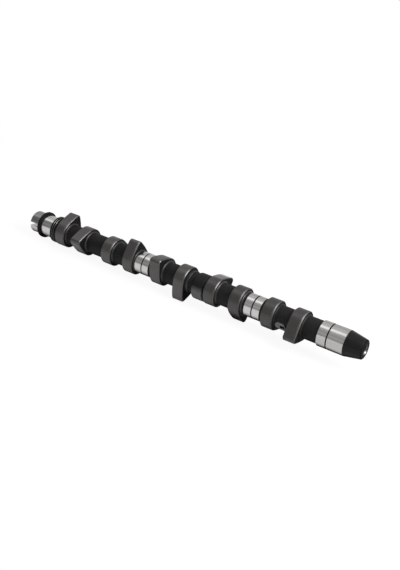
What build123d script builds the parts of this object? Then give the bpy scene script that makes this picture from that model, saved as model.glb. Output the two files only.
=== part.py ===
from build123d import *
import math
import os

os.makedirs("parts", exist_ok=True)

# Camshaft of an in-line five-cylinder engine with one overhead shaft, cast in chilled
# iron and ground. Millimetres and degrees. X runs along the shaft, from the slotted rear
# end to the tapered nose, Z is up as the shaft lies on a bench, and the origin is the
# middle of the rear journal, where the two thrust collars locate the shaft.

# Engine layout
cylinder_count = 5
cylinder_pitch = 88.0
lobe_spacing = 39.0
firing_order = [1, 2, 4, 5, 3]
exhaust_ahead_of_intake = [1, 2]

# Cam lobes, with their directions measured from +Y towards +Z
lobe_width = 17.0
base_radius = 20.0
cam_lift = 10.0
nose_radius = 5.0
flank_radius = 100.0
lobe_chamfer = 1.0
lobe_separation = 105.0
first_exhaust_angle = 208.6

# Cast shaft between the lobes
shaft_radius = 15.2
root_fillet = 2.2

# Rear end: slotted spigot, two thrust collars and the journal between them
spigot_radius = 15.8
spigot_length = 18.2
spigot_chamfer = 1.0
slot_width = 5.6
slot_depth = 15.0
collar_radius = 19.5
rear_collar_width = 3.3
front_collar_width = 3.6
rear_journal_width = 21.8
collar_groove_width = 1.0
collar_groove_depth = 1.0
collar_ring_width = 2.4
collar_disc_width = 2.6
collar_chamfer = 0.4

# Journals between the cylinders, each with the lengths of plain shaft before and after it
journal_radius = 15.8
journal_chamfer = 0.5
oil_groove_width = 1.6
oil_groove_depth = 1.1
rear_middle_necks = (2.3, 6.0)
front_middle_necks = (4.7, 3.6)

# Eccentric that is left as cast, with the shoulder behind it and the neck ahead of it
blank_radius = 18.2
blank_offset = 1.2
blank_angle = 250.0
blank_width = 16.8
blank_edge = 1.6
blank_neck = 2.8
blank_neck_height = 1.2
shoulder_height = 1.1
shoulder_width = 5.0
shoulder_edge = 0.8

# Front journal and tapered nose
front_shaft_length = 22.0
front_journal_radius = 17.0
front_bearing_width = 12.6
seal_land_width = 21.5
nose_length = 23.1
nose_end_radius = 12.7
nose_round = 2.0

# Threaded hole in the nose, cut to its thread's inner diameter
end_hole_radius = 5.25
end_hole_depth = 32.0
end_hole_mouth_radius = 7.0
end_hole_mouth_angle = 90.0
drill_point_angle = 118.0

# Oval cast pad with a sunk mark between the front two lobes
pad_length = 15.0
pad_width = 9.0
pad_height = 1.1
pad_angle = 201.0
pad_mark_length = 6.5
pad_mark_width = 4.0
pad_mark_depth = 1.4
pad_mark_offset = 3.0

# Places along the shaft
rear_journal_end = rear_journal_width / 2
rear_collar_start = -rear_journal_end - rear_collar_width
spigot_end = rear_collar_start - spigot_length
front_collar_end = rear_journal_end + front_collar_width
collar_ring_start = front_collar_end + collar_groove_width
collar_disc_start = collar_ring_start + collar_ring_width + collar_groove_width
first_lobe = collar_disc_start + collar_disc_width


def lobe_start(cylinder, ahead):
    """Rear face of one of a cylinder's two lobes, cylinder 1 being the one at the nose."""
    rear_lobe = first_lobe + (cylinder_count - cylinder) * cylinder_pitch
    return rear_lobe + lobe_spacing if ahead else rear_lobe


def lobe_end(cylinder, ahead):
    """Front face of the same lobe."""
    return lobe_start(cylinder, ahead) + lobe_width


shoulder_radius = shaft_radius + shoulder_height
shoulder_end = lobe_end(3, True) + shoulder_width
blank_neck_radius = shaft_radius + blank_neck_height
blank_end = lobe_start(2, False) - blank_neck
blank_start = blank_end - blank_width
front_journal = lobe_end(1, True) + front_shaft_length
front_groove = front_journal + front_bearing_width
nose_start = front_groove + oil_groove_width + seal_land_width
nose_end = nose_start + nose_length


# The lobe's outline is made of arcs, as a lobe for a flat tappet was first ground: the
# base circle, a small nose circle, and on each side a wide flank arc that touches both.
# The middles of the three circles form a triangle, whose sides are known from the radii.
# Its angle at the shaft's axis gives the angle from the nose at which the valve opens.
nose_middle = base_radius + cam_lift - nose_radius
base_to_flank = flank_radius - base_radius
nose_to_flank = flank_radius - nose_radius
axis_angle = math.acos(
    (base_to_flank**2 + nose_middle**2 - nose_to_flank**2)
    / (2 * base_to_flank * nose_middle)
)
event_half_angle = math.pi - axis_angle
flank_middle = (
    base_to_flank * math.cos(axis_angle),
    -base_to_flank * math.sin(axis_angle),
)
nose_half_angle = math.atan2(-flank_middle[1], nose_middle - flank_middle[0])


def arc_point(middle, radius, angle, side):
    """Point of an arc seen from its middle, on the side +1 or -1 of the lobe."""
    y = middle[0] + radius * math.cos(angle)
    z = middle[1] + radius * math.sin(angle)
    return (y, side * z)


# One cam lobe, with its rear face at the origin and its nose along +Y
with BuildPart() as lobe:
    with BuildSketch(Plane.YZ):
        with BuildLine():
            opening, closing = (
                [
                    arc_point(flank_middle, flank_radius, angle, side)
                    for angle in (
                        event_half_angle,
                        (event_half_angle + nose_half_angle) / 2,
                        nose_half_angle,
                    )
                ]
                for side in (-1, 1)
            )
            ThreePointArc(*opening)
            ThreePointArc(opening[2], (nose_middle + nose_radius, 0), closing[2])
            ThreePointArc(*reversed(closing))
            ThreePointArc(closing[0], (-base_radius, 0), opening[0])
        make_face()
    extrude(amount=lobe_width)
    chamfer(lobe.faces().filter_by(Axis.X).edges(), length=lobe_chamfer)


# The cast fillet beside a lobe is limited by the wall between the plain shaft and the
# lobe's chamfer, and the core of the lobe ends between the fillet and that chamfer
lobe_wall = base_radius - lobe_chamfer - shaft_radius
fillet_size = min(root_fillet, 0.8 * lobe_wall)
hub_radius = shaft_radius + (fillet_size + lobe_wall) / 2


# Half section of everything that is round, as corners of (place, radius, rounding) from
# the rear end to the nose
outline = []


def corner(place, radius, rounding=0.0):
    """Add one corner of the half section."""
    outline.append((place, radius, rounding))


def ground_band(start, end, radius, edge):
    """Add a ground length with a small chamfer at each end."""
    corner(start, radius - edge)
    corner(start + edge, radius)
    corner(end - edge, radius)
    corner(end, radius - edge)


def ring_groove(start, width, radius, depth):
    """Add a groove turned into a length of this radius."""
    corner(start, radius)
    corner(start, radius - depth)
    corner(start + width, radius - depth)
    corner(start + width, radius)


def lobe_hub(start, rear_radius=shaft_radius, front_radius=shaft_radius):
    """Add the core of a lobe, with a cast fillet where it meets the plain shaft."""
    corner(start, rear_radius, fillet_size if rear_radius == shaft_radius else 0)
    corner(start, hub_radius)
    corner(start + lobe_width, hub_radius)
    corner(
        start + lobe_width,
        front_radius,
        fillet_size if front_radius == shaft_radius else 0,
    )


def grooved_journal(rear_lobe_end, front_lobe_start, necks):
    """Add a ground journal between two lobes, with an oil groove round its middle."""
    start = rear_lobe_end + necks[0]
    end = front_lobe_start - necks[1]
    groove_start = (start + end - oil_groove_width) / 2
    corner(start, shaft_radius)
    corner(start, journal_radius - journal_chamfer)
    corner(start + journal_chamfer, journal_radius)
    ring_groove(groove_start, oil_groove_width, journal_radius, oil_groove_depth)
    corner(end - journal_chamfer, journal_radius)
    corner(end, journal_radius - journal_chamfer)
    corner(end, shaft_radius)


# Slotted spigot, rear journal between its two collars, and the ringed disc before the
# first lobe
corner(spigot_end, 0)
corner(spigot_end, spigot_radius - spigot_chamfer)
corner(spigot_end + spigot_chamfer, spigot_radius)
corner(rear_collar_start, spigot_radius)
ground_band(rear_collar_start, -rear_journal_end, collar_radius, collar_chamfer)
corner(-rear_journal_end, journal_radius)
corner(rear_journal_end, journal_radius)
corner(rear_journal_end, collar_radius - collar_chamfer)
corner(rear_journal_end + collar_chamfer, collar_radius)
for start in (front_collar_end, collar_ring_start + collar_ring_width):
    ring_groove(start, collar_groove_width, collar_radius, collar_groove_depth)
lobe_hub(first_lobe, rear_radius=collar_radius)
lobe_hub(lobe_start(5, True))

# Fourth cylinder's lobes and the rear middle journal
lobe_hub(lobe_start(4, False))
lobe_hub(lobe_start(4, True))
grooved_journal(lobe_end(4, True), lobe_start(3, False), rear_middle_necks)

# Third cylinder's lobes, the shoulder and the neck that leads into the eccentric
lobe_hub(lobe_start(3, False))
lobe_hub(lobe_start(3, True), front_radius=shoulder_radius)
corner(shoulder_end, shoulder_radius, shoulder_edge)
corner(shoulder_end, shaft_radius)
corner(blank_start + blank_width / 2, shaft_radius)
corner(blank_start + blank_width / 2, blank_neck_radius)

# Second cylinder's lobes and the front middle journal
lobe_hub(lobe_start(2, False), rear_radius=blank_neck_radius)
lobe_hub(lobe_start(2, True))
grooved_journal(lobe_end(2, True), lobe_start(1, False), front_middle_necks)

# First cylinder's lobes
lobe_hub(lobe_start(1, False))
lobe_hub(lobe_start(1, True))

# Front journal with its oil groove and seal land, then the tapered nose
corner(front_journal, shaft_radius)
corner(front_journal, front_journal_radius - journal_chamfer)
corner(front_journal + journal_chamfer, front_journal_radius)
ring_groove(front_groove, oil_groove_width, front_journal_radius, oil_groove_depth)
corner(nose_start, front_journal_radius)
corner(nose_end, nose_end_radius, nose_round)

# Countersunk hole for the pulley's screw, ending in a drill point
mouth_slope = math.tan(math.radians(end_hole_mouth_angle / 2))
point_slope = math.tan(math.radians(drill_point_angle / 2))
mouth_depth = (end_hole_mouth_radius - end_hole_radius) / mouth_slope
hole_bottom = nose_end - end_hole_depth
corner(nose_end, end_hole_mouth_radius)
corner(nose_end - mouth_depth, end_hole_radius)
corner(hole_bottom, end_hole_radius)
corner(hole_bottom - end_hole_radius / point_slope, 0)

# Each cylinder's exhaust lobe follows that of the last one to fire by an equal turn, and
# its intake lobe stands a fixed angle after it
lobe_places = []
for turn, cylinder in enumerate(firing_order):
    exhaust_ahead = cylinder in exhaust_ahead_of_intake
    exhaust_angle = first_exhaust_angle + turn * 360 / cylinder_count
    intake_angle = exhaust_angle + lobe_separation
    exhaust_place = (lobe_start(cylinder, exhaust_ahead), 0, 0)
    intake_place = (lobe_start(cylinder, not exhaust_ahead), 0, 0)
    lobe_places.append(Location(exhaust_place, (exhaust_angle, 0, 0)))
    lobe_places.append(Location(intake_place, (intake_angle, 0, 0)))

# Middle of the eccentric
blank_turn = math.radians(blank_angle)
blank_middle = (
    (blank_start + blank_end) / 2,
    blank_offset * math.cos(blank_turn),
    blank_offset * math.sin(blank_turn),
)

# The eccentric that is left as cast
with BuildPart() as blank:
    Cylinder(blank_radius, blank_width, rotation=(0, 90, 0))
    fillet(blank.edges().filter_by(GeomType.CIRCLE), radius=blank_edge)

# Plane of the cast pad, between the lobes of the first cylinder
pad_middle = (lobe_end(1, False) + lobe_start(1, True)) / 2
pad_top = shaft_radius + pad_height
pad_turn = math.radians(pad_angle)
pad_plane = Plane(
    origin=(pad_middle, 0, 0),
    x_dir=(1, 0, 0),
    z_dir=(0, math.cos(pad_turn), math.sin(pad_turn)),
)

# The camshaft is one solid: the turned bar, ten lobes, a drive slot and a cast pad
with BuildPart() as camshaft:
    with BuildSketch(Plane.XZ):
        with BuildLine():
            FilletPolyline(
                [(place, radius) for place, radius, rounding in outline],
                radius=[rounding for place, radius, rounding in outline],
                close=True,
            )
        make_face()
    revolve(axis=Axis.X)

    with Locations(*lobe_places):
        add(lobe.part)
    with Locations(blank_middle):
        add(blank.part)

    with BuildSketch(Plane.YZ.offset(spigot_end)):
        Rectangle(4 * spigot_radius, slot_width)
    extrude(amount=slot_depth, mode=Mode.SUBTRACT)

    with BuildSketch(pad_plane):
        SlotOverall(pad_length, pad_width)
    extrude(amount=pad_top)
    with BuildSketch(pad_plane.offset(pad_top)):
        with Locations((pad_mark_offset, 0)):
            SlotOverall(pad_mark_length, pad_mark_width)
    extrude(amount=-pad_mark_depth, mode=Mode.SUBTRACT)

camshaft.part.label = "camshaft"
export_step(camshaft.part, "parts/camshaft.step")
print("length", round(nose_end - spigot_end, 1))
print("rear end", round(spigot_end, 2), "nose end", round(nose_end, 2))
print("rear faces of the lobes", [round(place.position.X, 2) for place in lobe_places])
print("half angle of the lift event", round(math.degrees(event_half_angle), 2))
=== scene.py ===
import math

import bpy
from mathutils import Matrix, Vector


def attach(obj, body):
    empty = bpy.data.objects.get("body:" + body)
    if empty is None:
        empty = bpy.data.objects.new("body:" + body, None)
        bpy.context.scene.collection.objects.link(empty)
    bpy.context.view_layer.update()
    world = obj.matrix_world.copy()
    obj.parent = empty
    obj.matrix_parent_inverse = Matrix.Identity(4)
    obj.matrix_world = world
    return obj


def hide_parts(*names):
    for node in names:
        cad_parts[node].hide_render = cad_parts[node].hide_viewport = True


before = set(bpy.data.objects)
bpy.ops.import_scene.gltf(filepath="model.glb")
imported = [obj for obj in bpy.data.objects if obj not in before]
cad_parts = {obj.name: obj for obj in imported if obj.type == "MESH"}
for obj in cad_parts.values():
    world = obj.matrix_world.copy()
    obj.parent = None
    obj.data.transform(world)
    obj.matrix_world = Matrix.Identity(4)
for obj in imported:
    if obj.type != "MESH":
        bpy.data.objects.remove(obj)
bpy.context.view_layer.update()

# %% [markdown]
# # A camshaft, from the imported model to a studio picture
#
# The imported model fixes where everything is, in metres: X runs along the shaft from the
# slotted rear end to the tapered nose, Z is up, and the origin is the middle of the rear
# journal. Its mesh is coarse, because it is made for physics. This lesson models the same
# shaft again with fine, smooth surfaces, gives each kind of surface the finish that its
# making leaves, and lights it as a product picture.

MM = 0.001
node_name = "camshaft"

# %% [markdown]
# ## The camera
#
# A photograph fixes its camera if enough sizes in it are known. Here the shaft is seen from
# above its nose end, far enough away for the lobes to shrink only a little towards the
# rear. The camera looks at the middle of the shaft and is rolled about its own line of
# sight, because the shaft rests on two lobes and a collar and so lies slightly turned.

# %% Camera
camera_place = Vector((0.7819, -0.8571, 0.4231))
camera_target = Vector((0.2684, -0.0003, 0.0))
camera_roll = math.radians(8.34)
lens_mm = 51.1

camera_data = bpy.data.cameras.new("studio_camera")
camera_data.lens = lens_mm
camera_data.sensor_width = 36.0
camera_data.clip_start = 0.01
camera = bpy.data.objects.new("studio_camera", camera_data)
bpy.context.scene.collection.objects.link(camera)
level_view = (camera_target - camera_place).to_track_quat("-Z", "Y").to_matrix()
rolled_view = level_view @ Matrix.Rotation(camera_roll, 3, "Z")
camera.matrix_world = Matrix.Translation(camera_place) @ rolled_view.to_4x4()
bpy.context.scene.camera = camera
print("camera distance", round((camera_target - camera_place).length, 3))

# %% [markdown]
# ## Working in edit mode from a script
#
# An operator acts on what is selected, as it does when a person models by hand. These few
# helpers start a primitive with nothing else selected, and select vertices, edges or faces
# by a test on their place, so that each later cell reads like a list of modelling steps.


# %% Helpers for modelling
def start(name, add_primitive, **options):
    """Add a primitive at the scene's origin or at its place, and name it."""
    bpy.ops.object.select_all(action="DESELECT")
    add_primitive(**options)
    piece = bpy.context.object
    piece.name = name
    piece.data.name = name
    bpy.ops.object.transform_apply(location=True, rotation=True, scale=True)
    return piece


def start_point(name):
    """Start a piece as one vertex at the origin, and stay in edit mode."""
    piece = start(name, bpy.ops.mesh.primitive_plane_add, size=MM)
    bpy.ops.object.mode_set(mode="EDIT")
    bpy.ops.mesh.select_mode(type="VERT")
    bpy.ops.mesh.select_all(action="SELECT")
    bpy.ops.mesh.merge(type="CENTER")
    return piece


def pick(piece, test, kind="VERT"):
    """In edit mode, select the vertices, edges or faces whose middle passes a test."""
    bpy.ops.mesh.select_mode(type=kind)
    bpy.ops.mesh.select_all(action="DESELECT")
    bpy.ops.object.mode_set(mode="OBJECT")
    mesh = piece.data
    spots = [vertex.co for vertex in mesh.vertices]
    if kind == "VERT":
        for vertex in mesh.vertices:
            vertex.select = bool(test(vertex.co))
    elif kind == "EDGE":
        for edge in mesh.edges:
            a, b = (spots[i] for i in edge.vertices)
            edge.select = bool(test((a + b) / 2, (b - a)))
    else:
        for face in mesh.polygons:
            face.select = bool(test(face.center, face.normal))
    bpy.ops.object.mode_set(mode="EDIT")
    bpy.ops.mesh.select_mode(type=kind)


def move(x, y, z):
    """Move what is selected, in millimetres."""
    bpy.ops.transform.translate(value=(x * MM, y * MM, z * MM))


def extrude(x, y, z):
    """Extrude what is selected, in millimetres."""
    step = (x * MM, y * MM, z * MM)
    bpy.ops.mesh.extrude_region_move(TRANSFORM_OT_translate={"value": step})


def face_outwards():
    """In edit mode, turn every face of the piece outwards."""
    bpy.ops.mesh.select_all(action="SELECT")
    bpy.ops.mesh.normals_make_consistent(inside=False)


def select_only(piece):
    """In object mode, select one object alone."""
    bpy.ops.object.select_all(action="DESELECT")
    piece.select_set(True)
    bpy.context.view_layer.objects.active = piece


def apply_modifiers(piece):
    """Apply every modifier of a piece, from the first to the last."""
    select_only(piece)
    for modifier in list(piece.modifiers):
        bpy.ops.object.modifier_apply(modifier=modifier.name)


def boolean(piece, tool, operation):
    """Add a tool's shape to a piece or cut it away, and throw the tool away."""
    modifier = piece.modifiers.new(operation.lower(), "BOOLEAN")
    modifier.operation = operation
    modifier.solver = "MANIFOLD"
    modifier.object = tool
    apply_modifiers(piece)
    bpy.data.objects.remove(tool)


# %% [markdown]
# ## The sizes of the shaft
#
# Each cylinder of the engine has two cam lobes, and its pair repeats at the cylinder pitch.
# Lobes of one cylinder stand a fixed distance apart. These values are the ones that the
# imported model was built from, so the new mesh fills the same space.

# %% Sizes in millimetres
cylinder_count = 5
cylinder_pitch = 88.0
lobe_spacing = 39.0
lobe_width = 17.0
first_lobe = 21.5
base_radius = 20.0
cam_lift = 10.0
nose_radius = 5.0
flank_radius = 100.0
lobe_edge = 1.0

spigot_radius = 15.8
collar_radius = 19.5
journal_radius = 15.8
front_journal_radius = 17.0
shaft_radius = 15.2
shoulder_radius = 16.3
eccentric_neck_radius = 16.4
nose_tip_radius = 12.7
hole_mouth_radius = 7.0
hole_radius = 5.9
drill_radius = 5.25

root_fillet = 2.2
shoulder_rounding = 0.8
nose_rounding = 1.66
groove_edge = 0.2
ring_groove_edge = 0.4
journal_bevel = 0.5
collar_bevel = 0.4
oil_groove_width = 1.6
oil_groove_depth = 1.1
ring_groove_size = 1.0
spigot_bevel = 1.0
countersink_depth = 1.8


def lobe_start(cylinder, ahead):
    """Rear face of one of a cylinder's two lobes, cylinder 1 being the one at the nose."""
    rear_lobe = first_lobe + (cylinder_count - cylinder) * cylinder_pitch
    return rear_lobe + lobe_spacing if ahead else rear_lobe


lobe_starts = [lobe_start(c, ahead) for c in (5, 4, 3, 2, 1) for ahead in (False, True)]
print("rear faces of the lobes", lobe_starts)

# %% Places along the shaft in millimetres, from the rear end to the nose
rear_end = -32.4
slot_floor = -17.4
spigot_end = -14.2
rear_journal_end = 10.9
ring_grooves = (14.5, 17.9)
middle_journals = (167.8, 346.2)
middle_journal_width = 23.7
shoulder_end = 258.5
eccentric_x = 274.3
front_journal_start = 451.5
oil_groove_start = 464.1
taper_start = 487.2
nose_tip = 510.3
hole_wall_end = 480.0
drill_shoulder = 478.3
hole_floor = 475.2
print("length of the shaft", round(nose_tip - rear_end, 1), "mm")

# %% [markdown]
# ## The turned bar
#
# Everything on the shaft that is round could be made by adding cylinders, but a lathe does
# it in one go, and so does Spin: the half section is drawn once as a chain of edges, its
# corners are rounded, and it is swept once round the axis. Beside each lobe the casting
# runs up in a fillet, and the chain dives just under the lobe's face, where the lobe will
# be joined on.

# %% Half section of the turned bar
section = []
overlap = 0.02


def corner(x, radius, rounding=0.0):
    """Add one corner of the half section, with its rounding."""
    section.append((x, radius, rounding))


def lobe_core(start_x, rear_radius=None, front_radius=None):
    """Core of a lobe: a fillet up to its rear face, and one down from its front face."""
    core_radius = shaft_radius + root_fillet + 0.3
    end_x = start_x + lobe_width
    if rear_radius is None:
        corner(start_x + overlap, shaft_radius, root_fillet)
        corner(start_x + overlap, core_radius)
    else:
        corner(start_x + overlap, rear_radius)
        corner(start_x + overlap, rear_radius - 0.6)
    corner(end_x - overlap, core_radius)
    if front_radius is None:
        corner(end_x - overlap, shaft_radius, root_fillet)
    else:
        corner(end_x - overlap, front_radius)


def groove(x, width, radius, depth, edge=groove_edge):
    """Groove turned into a length of this radius, with its edges broken."""
    corner(x, radius, edge)
    corner(x, radius - depth)
    corner(x + width, radius - depth)
    corner(x + width, radius, edge)


def grooved_journal(x):
    """Ground journal with an oil groove round its middle."""
    end_x = x + middle_journal_width
    groove_x = x + (middle_journal_width - oil_groove_width) / 2
    corner(x, shaft_radius)
    corner(x, journal_radius - journal_bevel)
    corner(x + journal_bevel, journal_radius)
    groove(groove_x, oil_groove_width, journal_radius, oil_groove_depth)
    corner(end_x - journal_bevel, journal_radius)
    corner(end_x, journal_radius - journal_bevel)
    corner(end_x, shaft_radius)


# rear end: spigot, rear collar, rear journal, front collar with its two ring grooves
corner(rear_end, 0.0)
corner(rear_end, spigot_radius - spigot_bevel)
corner(rear_end + spigot_bevel, spigot_radius)
corner(spigot_end, spigot_radius)
corner(spigot_end, collar_radius - collar_bevel)
corner(spigot_end + collar_bevel, collar_radius)
corner(-rear_journal_end - collar_bevel, collar_radius)
corner(-rear_journal_end, collar_radius - collar_bevel)
corner(-rear_journal_end, journal_radius)
corner(rear_journal_end, journal_radius)
corner(rear_journal_end, collar_radius - collar_bevel)
corner(rear_journal_end + collar_bevel, collar_radius)
for groove_x in ring_grooves:
    groove(groove_x, ring_groove_size, collar_radius, ring_groove_size, ring_groove_edge)

# lobes of cylinders 5, 4 and 3, with the second journal between the last two
lobe_core(lobe_starts[0], rear_radius=collar_radius)
for start_x in lobe_starts[1:4]:
    lobe_core(start_x)
grooved_journal(middle_journals[0])
lobe_core(lobe_starts[4])

# shoulder, and the step in the shaft that the eccentric will hide
lobe_core(lobe_starts[5], front_radius=shoulder_radius)
corner(shoulder_end, shoulder_radius, shoulder_rounding)
corner(shoulder_end, shaft_radius)
corner(eccentric_x, shaft_radius)
corner(eccentric_x, eccentric_neck_radius)

# lobes of cylinders 2 and 1, with the third journal between them
lobe_core(lobe_starts[6], rear_radius=eccentric_neck_radius)
lobe_core(lobe_starts[7])
grooved_journal(middle_journals[1])
for start_x in lobe_starts[8:]:
    lobe_core(start_x)

# front journal with its oil groove, seal land, tapered nose and the hole in its end
corner(front_journal_start, shaft_radius)
corner(front_journal_start, front_journal_radius - journal_bevel)
corner(front_journal_start + journal_bevel, front_journal_radius)
groove(oil_groove_start, oil_groove_width, front_journal_radius, oil_groove_depth)
corner(taper_start, front_journal_radius)
corner(nose_tip, nose_tip_radius, nose_rounding)
corner(nose_tip, hole_mouth_radius)
corner(nose_tip - countersink_depth, hole_radius)
corner(hole_wall_end, hole_radius)
corner(drill_shoulder, drill_radius)
corner(hole_floor, 0.0)
print("corners of the half section", len(section))

# %% [markdown]
# The chain starts as one vertex, a plane merged to its middle, and grows by extruding from
# corner to corner. Corners are rounded by a vertex bevel while they are still easy to
# pick, and only then is the chain spun. A spin leaves a double row where it closes and a
# heap of vertices on the axis, so doubles are merged and the normals are set outwards.


# %% Turned bar
def near_corners(rounding):
    """Test for the corners of the half section that have this rounding."""
    spots = [Vector((x * MM, 0, r * MM)) for x, r, size in section if size == rounding]
    return lambda place: any((place - spot).length < 0.01 * MM for spot in spots)


rounding_steps = {
    groove_edge: 2,
    ring_groove_edge: 1,
    shoulder_rounding: 4,
    nose_rounding: 6,
    root_fillet: 8,
}
turn_steps = 144
bar = start_point("turned_bar")
move(section[0][0], 0, section[0][1])
for (x0, r0, _), (x1, r1, _) in zip(section, section[1:]):
    extrude(x1 - x0, 0, r1 - r0)
for rounding, steps in rounding_steps.items():
    pick(bar, near_corners(rounding))
    bpy.ops.mesh.bevel(offset=rounding * MM, segments=steps, profile=0.5, affect="VERTICES")
bpy.ops.mesh.select_all(action="SELECT")
bpy.ops.mesh.spin(steps=turn_steps, angle=math.tau, center=(0, 0, 0), axis=(1, 0, 0))
bpy.ops.mesh.select_all(action="SELECT")
bpy.ops.mesh.remove_doubles(threshold=0.002 * MM)
face_outwards()
bpy.ops.object.mode_set(mode="OBJECT")
print("turned bar:", len(bar.data.vertices), "vertices")

# %% [markdown]
# ## The drive slot
#
# A slot milled across the rear spigot drives whatever sits behind the engine. A real slot
# is cut with a cutter, and a Boolean does the same: a block as wide as the cutter is moved
# to its place and taken away.

# %% Drive slot
slot_width = 5.6
cutter_reach = 12.0
cutter = start("cutter", bpy.ops.mesh.primitive_cube_add, size=2 * MM)
bpy.ops.object.mode_set(mode="EDIT")
bpy.ops.mesh.select_all(action="SELECT")
bpy.ops.transform.resize(value=(cutter_reach, 2 * cutter_reach, slot_width / 2))
move(slot_floor - cutter_reach, 0, 0)
bpy.ops.object.mode_set(mode="OBJECT")
boolean(bar, cutter, "DIFFERENCE")
print("bar with its slot:", len(bar.data.vertices), "vertices")

# %% [markdown]
# ## The eccentric
#
# In the middle of the shaft the casting carries a plain round disc that stands a little out
# of centre and is never ground. It is a cylinder with its two edges bevelled and moved to
# its place. The Boolean that joins the lobes on takes it along, as one pour of iron did.

# %% Eccentric
eccentric_radius = 18.2
eccentric_width = 16.8
eccentric_edge = 1.6
eccentric_offset = (-0.410, -1.128)
eccentric = start(
    "eccentric",
    bpy.ops.mesh.primitive_cylinder_add,
    vertices=turn_steps,
    radius=eccentric_radius * MM,
    depth=eccentric_width * MM,
    rotation=(0, math.pi / 2, 0),
)
bpy.ops.object.mode_set(mode="EDIT")
pick(eccentric, lambda middle, run: abs(run.x) < 0.1 * MM, "EDGE")
bpy.ops.mesh.bevel(offset=eccentric_edge * MM, segments=5, profile=0.5, affect="EDGES")
bpy.ops.mesh.select_all(action="SELECT")
move(eccentric_x, *eccentric_offset)
bpy.ops.object.mode_set(mode="OBJECT")
print("eccentric:", len(eccentric.data.polygons), "faces")

# %% [markdown]
# ## The cam lobes
#
# A lobe for a flat tappet was first drawn and ground as arcs: the base circle, on which the
# valve stays shut, a small nose circle at full lift, and on each side a wide flank arc that
# touches both, so that nothing knocks. The middles of these circles form a triangle whose
# sides are known from the radii, and its angles say where each arc ends. An arc needs no
# curve tool here: it is one vertex, spun round the middle of its circle.

# %% Arcs of a lobe
nose_middle = base_radius + cam_lift - nose_radius
base_to_flank = flank_radius - base_radius
nose_to_flank = flank_radius - nose_radius
axis_angle = math.acos(
    (base_to_flank**2 + nose_middle**2 - nose_to_flank**2) / (2 * base_to_flank * nose_middle)
)
opening_angle = math.pi - axis_angle
flank_y = base_to_flank * math.cos(axis_angle)
flank_z = -base_to_flank * math.sin(axis_angle)
nose_angle = math.atan2(-flank_z, nose_middle - flank_y)
flank_angle = opening_angle - nose_angle
nose_steps = 14
flank_steps = 14
base_steps = 104
lobe_arcs = (
    (nose_middle, 0.0, nose_angle, nose_steps),
    (flank_y, flank_z, flank_angle, flank_steps),
    (0.0, 0.0, math.tau - 2 * opening_angle, base_steps),
    (flank_y, -flank_z, flank_angle, flank_steps),
    (nose_middle, 0.0, nose_angle, nose_steps),
)
print("lobe opens its valve over", round(math.degrees(2 * opening_angle), 1), "degrees")

# %% One lobe
first_lobe_piece = start_point("cam_lobe")
move(0, base_radius + cam_lift, 0)
for middle_y, middle_z, angle, steps in lobe_arcs:
    bpy.ops.mesh.spin(
        steps=steps, angle=angle, center=(0, middle_y * MM, middle_z * MM), axis=(-1, 0, 0)
    )
bpy.ops.mesh.select_all(action="SELECT")
bpy.ops.mesh.remove_doubles(threshold=0.005 * MM)
bpy.ops.mesh.edge_face_add()
extrude(lobe_width, 0, 0)
face_outwards()
pick(first_lobe_piece, lambda middle, run: abs(run.x) < 0.1 * MM, "EDGE")
bpy.ops.mesh.bevel(offset=lobe_edge * MM, segments=1, affect="EDGES")
bpy.ops.object.mode_set(mode="OBJECT")
print("one lobe:", len(first_lobe_piece.data.polygons), "faces")

# %% [markdown]
# The lobe is modelled once and copied. Each cylinder's exhaust lobe follows that of the
# cylinder that fires before it by a fifth of a turn, and its intake lobe stands a fixed
# angle behind it. On the two front cylinders the exhaust lobe is the one nearer the nose,
# and on the other three it is the one nearer the rear.

# %% Ten lobes in firing order
firing_order = [1, 2, 4, 5, 3]
exhaust_ahead_of_intake = [1, 2]
first_exhaust_angle = 208.6
lobe_separation = 105.0
lobes = []
for turn, cylinder in enumerate(firing_order):
    exhaust_angle = first_exhaust_angle + turn * 360 / cylinder_count
    exhaust_ahead = cylinder in exhaust_ahead_of_intake
    lobes.append((lobe_start(cylinder, exhaust_ahead), exhaust_angle))
    lobes.append((lobe_start(cylinder, not exhaust_ahead), exhaust_angle + lobe_separation))

copies = []
for x, angle in lobes:
    select_only(first_lobe_piece)
    bpy.ops.object.duplicate()
    copy = bpy.context.object
    copy.location.x = x * MM
    copy.rotation_euler.x = math.radians(angle)
    bpy.ops.object.transform_apply(location=True, rotation=True, scale=True)
    copies.append(copy)
bpy.data.objects.remove(first_lobe_piece)
select_only(eccentric)
for copy in copies:
    copy.select_set(True)
bpy.ops.object.join()
boolean(bar, eccentric, "UNION")
print("bar with its lobes:", len(bar.data.vertices), "vertices")

# %% [markdown]
# ## The cast pad
#
# Between the front two lobes the casting has a small oval pad with a sunk mark, which
# shows a fitter how the shaft is turned. It is a circle whose halves are pulled apart,
# extruded, bevelled round its top, and inset and pushed in for the mark.

# %% Cast pad
pad_width = 9.0
pad_stretch = 3.0
pad_foot = 13.0
pad_top = 16.3
pad_angle = 201.0
pad_place = 401.5
pad_edge = 0.45
mark_inset = 1.9
mark_shape = (0.65, 0.95, 1.0)
mark_draft = (0.85, 0.80, 1.0)
mark_offset = 3.0
mark_depth = 1.4
pad = start(
    "cast_pad",
    bpy.ops.mesh.primitive_circle_add,
    vertices=64,
    radius=pad_width / 2 * MM,
    fill_type="NGON",
    location=(0, 0, pad_foot * MM),
)
bpy.ops.object.mode_set(mode="EDIT")
pick(pad, lambda place: place.x > 0.01 * MM)
move(pad_stretch, 0, 0)
pick(pad, lambda place: place.x < -0.01 * MM)
move(-pad_stretch, 0, 0)
bpy.ops.mesh.select_all(action="SELECT")
extrude(0, 0, pad_top - pad_foot)
pick(pad, lambda middle, normal: middle.z > (pad_top - 0.1) * MM, "FACE")
bpy.ops.mesh.bevel(offset=pad_edge * MM, segments=3, affect="EDGES")
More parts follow.
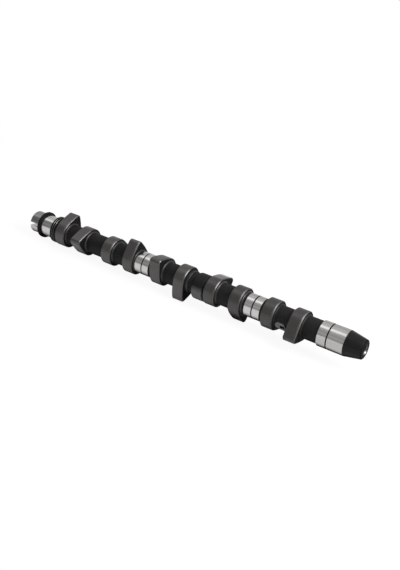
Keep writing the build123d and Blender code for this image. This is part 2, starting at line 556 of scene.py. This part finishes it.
pick(pad, lambda middle, normal: middle.z > (pad_top - 0.02) * MM, "FACE")
bpy.ops.mesh.inset(thickness=mark_inset * MM)
bpy.ops.transform.resize(value=mark_shape)
move(mark_offset, 0, 0)
extrude(0, 0, -mark_depth)
bpy.ops.transform.resize(value=mark_draft)
face_outwards()
bpy.ops.object.mode_set(mode="OBJECT")
pad.location.x = pad_place * MM
pad.rotation_euler.x = math.radians(pad_angle - 90)
bpy.ops.object.transform_apply(location=True, rotation=True, scale=True)
boolean(bar, pad, "UNION")
print("bar with its pad:", len(bar.data.vertices), "vertices")

# %% [markdown]
# ## The thread in the nose
#
# The pulley's screw goes into the nose. The thread is one ridge wound along the wall of the
# hole: its cross-section is a small closed loop, the Screw modifier winds it, and its two
# open ends are filled.

# %% Thread
thread_pitch = 1.5
thread_turns = 17
thread_start = 481.5
steps_in_a_turn = 48
ridge = start("thread", bpy.ops.mesh.primitive_plane_add, size=MM, rotation=(math.pi / 2, 0, 0))
ridge_loop = ((0.0, 6.0), (1.25, 6.0), (0.8, 5.3), (0.45, 5.3))
plane_corners = sorted(ridge.data.vertices, key=lambda v: math.atan2(-v.co.z, v.co.x))
for vertex, (x, radius) in zip(plane_corners, ridge_loop[::-1]):
    vertex.co = ((thread_start + x) * MM, 0, radius * MM)
bpy.ops.object.mode_set(mode="EDIT")
bpy.ops.mesh.select_all(action="SELECT")
bpy.ops.mesh.delete(type="ONLY_FACE")
bpy.ops.object.mode_set(mode="OBJECT")
winding = ridge.modifiers.new("winding", "SCREW")
winding.axis = "X"
winding.angle = math.tau
winding.screw_offset = thread_pitch * MM
winding.iterations = thread_turns
winding.steps = steps_in_a_turn
winding.render_steps = steps_in_a_turn
winding.use_merge_vertices = False
apply_modifiers(ridge)
bpy.ops.object.mode_set(mode="EDIT")
bpy.ops.mesh.select_all(action="SELECT")
bpy.ops.mesh.fill_holes(sides=len(ridge_loop))
face_outwards()
bpy.ops.object.mode_set(mode="OBJECT")
boolean(bar, ridge, "UNION")
print("bar with its thread:", len(bar.data.vertices), "vertices")

# %% [markdown]
# ## Smooth shading
#
# Round surfaces should look round and turned edges should stay crisp. Shading smooth by
# angle keeps every edge over the limit sharp, and the weighted normals stop the large flat
# faces from picking up a tilt from the small curved faces beside them.

# %% Smooth shading
sharp_angle = math.radians(32)
select_only(bar)
bpy.ops.object.shade_smooth_by_angle(angle=sharp_angle)
weighting = bar.modifiers.new("weighting", "WEIGHTED_NORMAL")
weighting.keep_sharp = True
weighting.weight = 80
apply_modifiers(bar)
bar.name = "camshaft_surface"
bar.data.name = "camshaft_surface"
print("whole shaft:", sum(len(face.vertices) - 2 for face in bar.data.polygons), "triangles")

# %% [markdown]
# ## Working with shader nodes
#
# A finish is a small calculation, and it reads best as one. An output of a node is wrapped
# in a value that understands Python's signs, so a mask times a depth adds its own Math
# nodes. One method makes every other node from its type, its settings and its inputs.


# %% Shader values and finishes
class Value:
    """One output of a shader node, on which Python's signs work."""

    def __init__(self, finish, socket):
        self.finish = finish
        self.socket = socket

    def maths(self, operation, first, second):
        return self.finish.node("ShaderNodeMath", {"operation": operation}, {0: first, 1: second})

    def __add__(self, other):
        return self.maths("ADD", self, other)

    __radd__ = __add__

    def __sub__(self, other):
        return self.maths("SUBTRACT", self, other)

    def __rsub__(self, other):
        return self.maths("SUBTRACT", other, self)

    def __mul__(self, other):
        return self.maths("MULTIPLY", self, other)

    __rmul__ = __mul__

    def __truediv__(self, other):
        return self.maths("DIVIDE", self, other)

    def __pow__(self, other):
        return self.maths("POWER", self, other)

    def __mod__(self, other):
        return self.maths("MODULO", self, other)

    def __gt__(self, other):
        return self.maths("GREATER_THAN", self, other)


class Finish:
    """The node tree of a material or of the world, and where each point of it is."""

    def __init__(self, owner, coordinates="Object"):
        owner.use_nodes = True
        self.owner = owner
        self.tree = owner.node_tree
        self.tree.nodes.clear()
        self.spot = self.node("ShaderNodeTexCoord", output=coordinates)
        self.x, self.y, self.z = (
            self.node("ShaderNodeSeparateXYZ", inputs={0: self.spot}, output=axis)
            for axis in ("X", "Y", "Z")
        )

    def node(self, kind, settings=None, inputs=None, output=0):
        """Make one node, set it, then give its sockets their values or links."""
        made = self.tree.nodes.new(kind)
        for name, setting in (settings or {}).items():
            if name == "stops":
                elements = made.color_ramp.elements
                while len(elements) < len(setting):
                    elements.new(0.5)
                for element, (position, shade) in zip(elements, setting):
                    element.position = position
                    element.color = (*shade, 1.0)
            else:
                setattr(made, name, setting)
        for name, value in (inputs or {}).items():
            if isinstance(value, Value):
                self.tree.links.new(value.socket, made.inputs[name])
            else:
                made.inputs[name].default_value = value
        return Value(self, made.outputs[output]) if len(made.outputs) else None

    def ray(self, kind):
        """1 for rays of this kind, which is Camera, Glossy or Transmission, and 0 for others."""
        return self.node("ShaderNodeLightPath", output=f"Is {kind} Ray")

    def fade(self, value, start, end, low=0.0, high=1.0):
        """Number that goes from low to high while a value goes from start to end."""
        ends = {"From Min": start, "From Max": end, "To Min": low, "To Max": high}
        return self.node("ShaderNodeMapRange", inputs={"Value": value, **ends})

    def noise(self, spot, size_mm, detail=3.0, roughness=0.55):
        """Soft noise with features of this size, from 0 to 1."""
        settings = {"noise_dimensions": "3D"}
        sizes = {"Scale": 1 / (size_mm * MM), "Detail": detail, "Roughness": roughness}
        return self.node("ShaderNodeTexNoise", settings, {"Vector": spot, **sizes})

    def rings(self, distance, size_mm, detail=2.0):
        """Noise along one distance only, as a grinding wheel or a turning tool leaves."""
        settings = {"noise_dimensions": "1D"}
        sizes = {"Scale": 1 / (size_mm * MM), "Detail": detail, "Roughness": 0.6}
        return self.node("ShaderNodeTexNoise", settings, {"W": distance, **sizes})

    def blend(self, share, first, second):
        """Colour between two colours."""
        settings = {"data_type": "RGBA"}
        inputs = {0: share, 6: first, 7: second}
        return self.node("ShaderNodeMix", settings, inputs, output=2)

    def bump(self, height, depth_mm):
        """Normal of a surface that stands out by this depth where the height is 1."""
        inputs = {"Strength": 1.0, "Distance": depth_mm * MM, "Height": height}
        return self.node("ShaderNodeBump", inputs=inputs)

    def surface(self, **sockets):
        """Finish the material with one Principled BSDF."""
        inputs = {name.replace("_", " "): value for name, value in sockets.items()}
        shader = self.node("ShaderNodeBsdfPrincipled", inputs=inputs)
        self.node("ShaderNodeOutputMaterial", inputs={"Surface": shader})
        return self.owner


def new_finish(name):
    """Start a material with an empty node tree."""
    return Finish(bpy.data.materials.new(name))


def grey(level, warmth=0.0):
    """Colour of this level, a little warmer or cooler."""
    return (level * (1 + warmth), level, level * (1 - warmth), 1.0)


# %% [markdown]
# ## Finishes
#
# A chill-cast camshaft shows how it was made. Where the grinding wheel ran last it is
# bright, with very fine lines round the shaft. The lobes are ground too, but then coated
# dark grey to help them run in, and only their edges catch the light. Everything else
# keeps the blackened skin of the casting or of the lathe. Each finish below reads the
# object coordinates: lines round the shaft are noise along X, and the marks on a turned
# face are noise along the distance from the axis.
#
# Some of them do more. Next to the front edge of a lobe the bump falls away, so that the
# edge looks as softly broken as a stone leaves it. The coating is a little paler on the
# rear lobes, and the edges of the front lobes are a little duller. The far side of one lobe
# still carries a film of oil, which shines where it is seen at a flat angle. The eccentric
# is painted paler on its lower side, a painted reflection of the white floor under it.


# %% Ground steel of the journals
def make_ground_steel(name, level, roughness):
    """Bright metal with very fine lines round the shaft."""
    finish = new_finish(name)
    lines = finish.rings(finish.x, 0.35, detail=4.0)
    cloud = finish.noise(finish.spot, 9.0)
    return finish.surface(
        Base_Color=finish.blend(cloud, grey(level, 0.012), grey(level * 1.14, 0.02)),
        Metallic=1.0,
        Roughness=roughness + 0.10 * lines + 0.05 * cloud,
        Normal=finish.bump(lines, 0.0016),
    )


# %% Coated faces of the lobes
oiled_lobe_middle = lobe_starts[6] + lobe_width / 2
oil_film_reach = 10.0
edge_drop = 0.7


def coating_of(finish, level):
    """Grinding lines, mottle and colour of the coating, which is paler on the rear lobes."""
    lines = finish.rings(finish.x, 0.5, detail=4.0)
    mottle = finish.noise(finish.spot, 2.6, detail=5.0, roughness=0.65)
    paleness = (0.55 + 0.22 * mottle) * finish.fade(finish.x, 255 * MM, 300 * MM, 1.28, 1.0)
    return lines, mottle, finish.blend(paleness, grey(0.0), grey(level * 1.5, 0.04))


def make_cam_face(name, level, roughness):
    """Coated face that falls away at its front edge, with a film of oil on one lobe."""
    finish = new_finish(name)
    lines, mottle, shade = coating_of(finish, level)

    # how far a point is past the rear face of its own lobe
    past_first = finish.x - first_lobe * MM
    past_lobe_start = past_first % (cylinder_pitch * MM) % (lobe_spacing * MM)
    near_edge = finish.fade(past_lobe_start, 13.8 * MM, 16.1 * MM)

    # the film is on the far side of one lobe alone
    from_oiled = finish.x - oiled_lobe_middle * MM
    on_other_lobe = from_oiled * from_oiled > (oil_film_reach * MM) ** 2
    far_side = finish.fade(finish.y, -5 * MM, 0.0)
    return finish.surface(
        Base_Color=shade,
        Metallic=0.75,
        Roughness=roughness + 0.10 * lines + 0.06 * mottle,
        IOR=1.5,
        Coat_Weight=far_side * (1 - on_other_lobe),
        Coat_Roughness=0.10,
        Normal=finish.bump(lines * 0.003 - near_edge * near_edge * edge_drop, 1.0),
    )


# %% Coated edges of the lobes
def make_cam_edge(name, level, roughness):
    """Coated edge that catches the light, less so on the lobes near the nose."""
    finish = new_finish(name)
    lines, mottle, shade = coating_of(finish, level)
    duller = finish.fade(finish.x, 305 * MM, 325 * MM, 0.0, 0.14)
    return finish.surface(
        Base_Color=shade,
        Metallic=0.0,
        Roughness=roughness + 0.10 * lines + 0.06 * mottle + duller,
        IOR=1.65,
        Normal=finish.bump(lines, 0.003),
    )


# %% Blackened skin of the casting
def make_cast_skin(name, level, roughness, specular, painted_floor_light=0.0):
    """Rough dark skin, which may be painted paler on its lower side as a painted reflection of
    the floor.
    """
    finish = new_finish(name)
    grain = finish.noise(finish.spot, 0.7, detail=4.0, roughness=0.6)
    waves = finish.noise(finish.spot, 7.0, detail=2.0)
    upper_shade = finish.blend(waves, grey(level * 0.75), grey(level * 1.3, 0.02))
    # The lower side is plain grey, made paler by the extra level given to the eccentric, which
    # paints in the reflection of the floor.
    low_side = finish.fade(finish.z, 5 * MM, -3 * MM)
    return finish.surface(
        Base_Color=finish.blend(low_side, upper_shade, grey(level + painted_floor_light)),
        Roughness=roughness + 0.12 * grain,
        Specular_IOR_Level=specular,
        Normal=finish.bump(grain + waves * 2.0, 0.05),
    )


# %% Blackened faces from the lathe
def make_turned_black(name, level, roughness, specular, metallic=0.0):
    """Blackened face with tool marks round the axis."""
    finish = new_finish(name)
    from_axis = (finish.y * finish.y + finish.z * finish.z) ** 0.5
    marks = finish.rings(from_axis + finish.x * 0.7, 0.45, detail=3.0)
    cloud = finish.noise(finish.spot, 4.0)
    return finish.surface(
        Base_Color=finish.blend(cloud, grey(level * 0.8), grey(level * 1.25, 0.01)),
        Metallic=metallic,
        Roughness=roughness + 0.12 * marks,
        Specular_IOR_Level=specular,
        Normal=finish.bump(marks, 0.012),
    )


# %% All finishes of the shaft
finishes = [
    # name, level, roughness
    make_ground_steel("ground_steel", 0.50, 0.13),
    make_ground_steel("spigot_steel", 0.24, 0.28),
    make_ground_steel("spigot_tongue", 0.48, 0.20),
    make_cam_face("cam_face", 0.061, 0.30),
    make_cam_edge("cam_edge", 0.014, 0.26),
    # name, level, roughness, specular
    make_cast_skin("cast_skin", 0.007, 0.55, 0.14),
    # The eccentric's paler lower side is a painted reflection of the floor.
    make_cast_skin("cast_eccentric", 0.005, 0.45, 0.16, painted_floor_light=0.07),
    make_cast_skin("cast_pad", 0.083, 0.50, 0.4),
    make_turned_black("root_fillet", 0.012, 0.32, 0.35),
    make_turned_black("dull_fillet", 0.008, 0.45, 0.15),
    make_turned_black("side_face", 0.006, 0.60, 0.03),
    make_turned_black("black_collar", 0.005, 0.50, 0.08),
    make_turned_black("worn_edge", 0.02, 0.22, 1.0),
    make_turned_black("black_nose", 0.005, 0.26, 0.17),
    make_turned_black("nose_end", 0.003, 0.50, 0.03),
    make_turned_black("bare_bore", 0.12, 0.26, 0.5, metallic=1.0),
    # the bore and its thread get a much darker steel than the countersink, painted shade deep in
    # the hole
    make_turned_black("dark_thread", 0.03, 0.40, 0.5, metallic=1.0),
]
slots = {}
bar.data.materials.clear()
for material in finishes:
    slots[material.name] = len(bar.data.materials)
    bar.data.materials.append(material)
print("finishes:", ", ".join(slots))

# %% [markdown]
# ## Which face has which finish
#
# The edges between finishes are edges of the shape, so each face gets its finish whole. A
# face is known by its place along the shaft, its distance from the axis and whether it
# looks along the shaft or away from it.

# %% Finishes on the faces
ground_bands = [
    (-rear_journal_end, rear_journal_end, journal_radius),
    *((x, x + middle_journal_width, journal_radius) for x in middle_journals),
    (front_journal_start, taper_start, front_journal_radius),
]
shoulder_start = lobe_starts[5] + lobe_width
lobe_foot = 17.65
dull_fillets_from = 370.0
pad_reach = pad_width / 2 + pad_stretch + 0.5
mark_reach_along = 4.0
mark_reach_across = 2.7


def lobe_finish_of(x, radius, looks_along):
    """Finish of a face of a lobe or of the fillet at its foot, or else nothing."""
    for lobe_x in lobe_starts:
        past_start = x - lobe_x
        if looks_along > 0.98 and min(abs(past_start), abs(past_start - lobe_width)) < 0.05:
            return "side_face"
        if -0.001 <= past_start <= lobe_width + 0.001 and radius > lobe_foot:
            at_edge = min(past_start, lobe_width - past_start) < lobe_edge - 0.01
            return "cam_edge" if at_edge else "cam_face"
        if -root_fillet < past_start < lobe_width + root_fillet and looks_along > 0.05:
            if radius < lobe_foot:
                return "root_fillet" if lobe_x < dull_fillets_from else "dull_fillet"
    return None


def pad_finish_of(place, x, radius):
    """Finish of a face of the cast pad or of its mark, or else nothing."""
    turn = math.radians(pad_angle)
    outward = place.y * math.cos(turn) + place.z * math.sin(turn)
    across = abs(place.y * math.sin(turn) - place.z * math.cos(turn)) / MM
    along = abs(x - pad_place - mark_offset)
    if outward > 0 and along < mark_reach_along and across < mark_reach_across:
        if shaft_radius - 0.4 < radius < pad_top - 0.1:
            return "side_face"
    on_pad = abs(x - pad_place) < pad_reach and radius > shaft_radius + 0.15
    return "cast_pad" if on_pad else None


def finish_of(face):
    """Name of the finish of one face."""
    x = face.center.x / MM
    radius = math.hypot(face.center.y, face.center.z) / MM
    looks_along = abs(face.normal.x)
    lobe_finish = lobe_finish_of(x, radius, looks_along)
    if lobe_finish:
        return lobe_finish
    if x < spigot_end and radius < spigot_radius + 0.1:
        below_slot = face.center.z < (0.01 - slot_width / 2) * MM
        return "spigot_tongue" if below_slot else "spigot_steel"
    for start_x, end_x, ground_radius in ground_bands:
        if start_x <= x <= end_x and looks_along < 0.9:
            return "ground_steel" if radius > ground_radius - 0.2 else "side_face"
    # In the hole the countersink gets bare steel, and the bore and thread a darker steel, painted
    # shade deep in the hole.
    if x > drill_shoulder and radius < hole_mouth_radius + 0.1:
        return "bare_bore" if radius > hole_radius + 0.05 else "dark_thread"
    if x >= taper_start:
        return "nose_end" if looks_along > 0.45 else "black_nose"
    if x < first_lobe:
        worn = x > rear_journal_end and 0.05 < looks_along < 0.95
        return "worn_edge" if worn else "black_collar"
    if radius > shaft_radius + 0.1:
        if shoulder_start < x < shoulder_end + 0.1 and looks_along < 0.98:
            return "root_fillet"
        if abs(x - eccentric_x) < eccentric_width / 2 + 0.1:
            return "cast_eccentric"
    plain_finish = "side_face" if looks_along > 0.9 else "cast_skin"
    return pad_finish_of(face.center, x, radius) or plain_finish


counts = dict.fromkeys(slots, 0)
for face in bar.data.polygons:
    name = finish_of(face)
    face.material_index = slots[name]
    counts[name] += 1
print("faces by finish:", counts)

# %% [markdown]
# ## Joining the frame
#
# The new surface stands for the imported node, which physics keeps, and rides on the one
# body that a part without joints has.

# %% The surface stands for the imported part
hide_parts(node_name)
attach(bar, "root")

# %% [markdown]
# ## The floor
#
# Left to itself on a bench the shaft lies on the noses of two lobes and on its rear
# collar, so its axis is not quite level: the nose end stands a little higher. The packed
# frame keeps the axis level, and the floor leans by the same small angle instead. It is
# moved up until it touches the lowest point of the shaft, seen square to the floor.
#
# Right under the shaft hardly any light reaches the floor. Only the shaft itself can see
# that strip, so for mirrored rays the floor there is painted nearly black, a painted
# shadow, and this draws the dark line along the foot of every round face.

# %% Floor under the resting shaft
floor_lean = math.radians(1.66)
floor_roll = math.radians(0.22)
floor_radius = 0.9
floor_middle = Vector((0.24, 0, 0))
floor_normal = Vector((math.sin(floor_lean), -math.sin(floor_roll), 1.0)).normalized()
floor_height = min(vertex.co.dot(floor_normal) for vertex in bar.data.vertices)
floor = start(
    "floor",
    bpy.ops.mesh.primitive_circle_add,
    vertices=96,
    radius=floor_radius,
    fill_type="NGON",
)
floor_turn = floor_normal.to_track_quat("Z", "Y").to_matrix().to_4x4()
floor_slide = floor_middle - floor_normal * floor_middle.dot(floor_normal)
floor.data.transform(Matrix.Translation(floor_normal * floor_height + floor_slide) @ floor_turn)
print("floor height under the origin", round(floor_height / MM, 2), "mm")


# %% Pale floor
paper_level = 0.88
paper_share = 0.08
rim_stops = ((0.35, (0, 0, 0)), (0.95, (1, 1, 1)))


def make_pale_floor():
    """White that keeps the shadow, fades at its rim, and mirrors painted shadow and shade."""
    finish = new_finish("pale_floor")
    from_middle_x = finish.x - floor_middle.x
    from_middle = (from_middle_x * from_middle_x + finish.y * finish.y) ** 0.5
    inputs = {"Fac": from_middle / floor_radius}
    rim = finish.node("ShaderNodeValToRGB", {"stops": rim_stops}, inputs)
    mirrored = finish.ray("Glossy")
    from_axis = (finish.y * finish.y) ** 0.5
    # Painted shadow: for mirrored rays the paper is painted nearly black in a strip along the
    # shaft's axis.
    painted_shadow_strip = finish.fade(from_axis, 6 * MM, 30 * MM, 1.0, 0.0) * mirrored
    paper_colour = finish.blend(painted_shadow_strip, grey(paper_level), grey(0.05))
    paper = finish.node("ShaderNodeBsdfDiffuse", inputs={"Color": paper_colour})
    # Painted shade in the reflections: for mirrored rays the floor's white is painted dimmer
    # towards the nose.
    dimmer_towards_nose = finish.fade(finish.x, 360 * MM, 440 * MM) * mirrored
    plain_colour = finish.blend(dimmer_towards_nose, grey(1.0), grey(0.76))
    plain = finish.node("ShaderNodeEmission", inputs={"Color": plain_colour})
    seen = finish.ray("Camera") + mirrored + finish.ray("Transmission")
    share = seen * (rim * paper_share + (1 - paper_share)) * (1 - painted_shadow_strip)
    mixed = finish.node("ShaderNodeMixShader", inputs={0: share, 1: paper, 2: plain})
    finish.node("ShaderNodeOutputMaterial", inputs={"Surface": mixed})
    return finish.owner


floor.data.materials.append(make_pale_floor())

# %% [markdown]
# ## The room
#
# Polished steel shows the room more than itself. A ground journal mirrors a strip of the
# room from the white floor, over the dim wall behind the camera, up to the softbox in the
# ceiling, and those are the bands across it. The world holds that room as a ramp from
# straight down to straight up, and above the floor the wall behind the shaft is brighter
# than the one behind the camera. Only the camera sees it plain white, and soft surfaces
# are lit by an even grey.

# %% World
world = bpy.data.worlds.new("studio")
bpy.context.scene.world = world
room = Finish(world, coordinates="Generated")
room_stops = (
    (0.0, 1.0),
    (0.493, 1.0),
    (0.503, 0.34),
    (0.575, 0.34),
    (0.63, 0.50),
    (0.70, 0.56),
    (0.76, 0.44),
    (0.81, 0.38),
    (0.86, 0.50),
    (0.90, 0.56),
    (1.0, 0.56),
)
rear_end_of_room = (-0.72, -0.42)
even_light = 0.60
ramp = {"stops": tuple((place, (level, level, level)) for place, level in room_stops)}
wall = room.node("ShaderNodeValToRGB", ramp, {"Fac": room.z * 0.5 + 0.5})
near_level = room.fade(room.x, *rear_end_of_room, 0.45, 1.0)
back_level = room.fade(room.x, *rear_end_of_room, 1.7, 1.3)
side_level = near_level + room.fade(room.y, -0.1, 0.15) * (back_level - near_level)
above_floor = room.z > 0.0
wall = wall * (1 + above_floor * (side_level - 1))
mirrored = room.ray("Glossy") + room.ray("Transmission")
light = room.blend(mirrored, grey(even_light), wall)
seen = room.blend(room.ray("Camera"), light, grey(1.0))
background = room.node("ShaderNodeBackground", inputs={"Color": seen, "Strength": 1.0})
room.node("ShaderNodeOutputWorld", inputs={"Surface": background})
print("room levels from floor to ceiling:", [level for _, level in room_stops])

# %% [markdown]
# ## The lamps
#
# Two softboxes do the rest. The long one overhead gives the bright band along every
# journal and the shadow on the floor. The one beyond the nose lights the front edges of
# the lobes, the edges of the grooves in the collar and the mouth of the hole. It leaves
# the journals alone, because a journal never mirrors that side.


# %% Softboxes
def softbox(name, place, target, width, depth, watts):
    """Rectangular lamp that looks at a target and is not seen by the camera."""
    data = bpy.data.lights.new(name, "AREA")
    data.shape = "RECTANGLE"
    data.size = width
    data.size_y = depth
    data.energy = watts
    lamp = bpy.data.objects.new(name, data)
    bpy.context.scene.collection.objects.link(lamp)
    turn = (Vector(target) - Vector(place)).to_track_quat("-Z", "Y").to_matrix().to_4x4()
    lamp.matrix_world = Matrix.Translation(place) @ turn
    lamp.visible_camera = False


softbox("ceiling_softbox", (-0.38, -0.17, 1.0), (-0.38, 0.0, 0.0), 1.5, 0.40, 1.8)
softbox("nose_softbox", (1.15, 0.0, 0.70), (0.25, 0.0, 0.0), 0.8, 0.8, 22.0)

# %% Colour management
bpy.context.scene.view_settings.view_transform = "Standard"

# %% [markdown]
# ## The last update
#
# The finished surface is meant to fill the same box as the imported model. The cell below only
# updates the view layer once more.

# %% Update the view layer
bpy.context.view_layer.update()
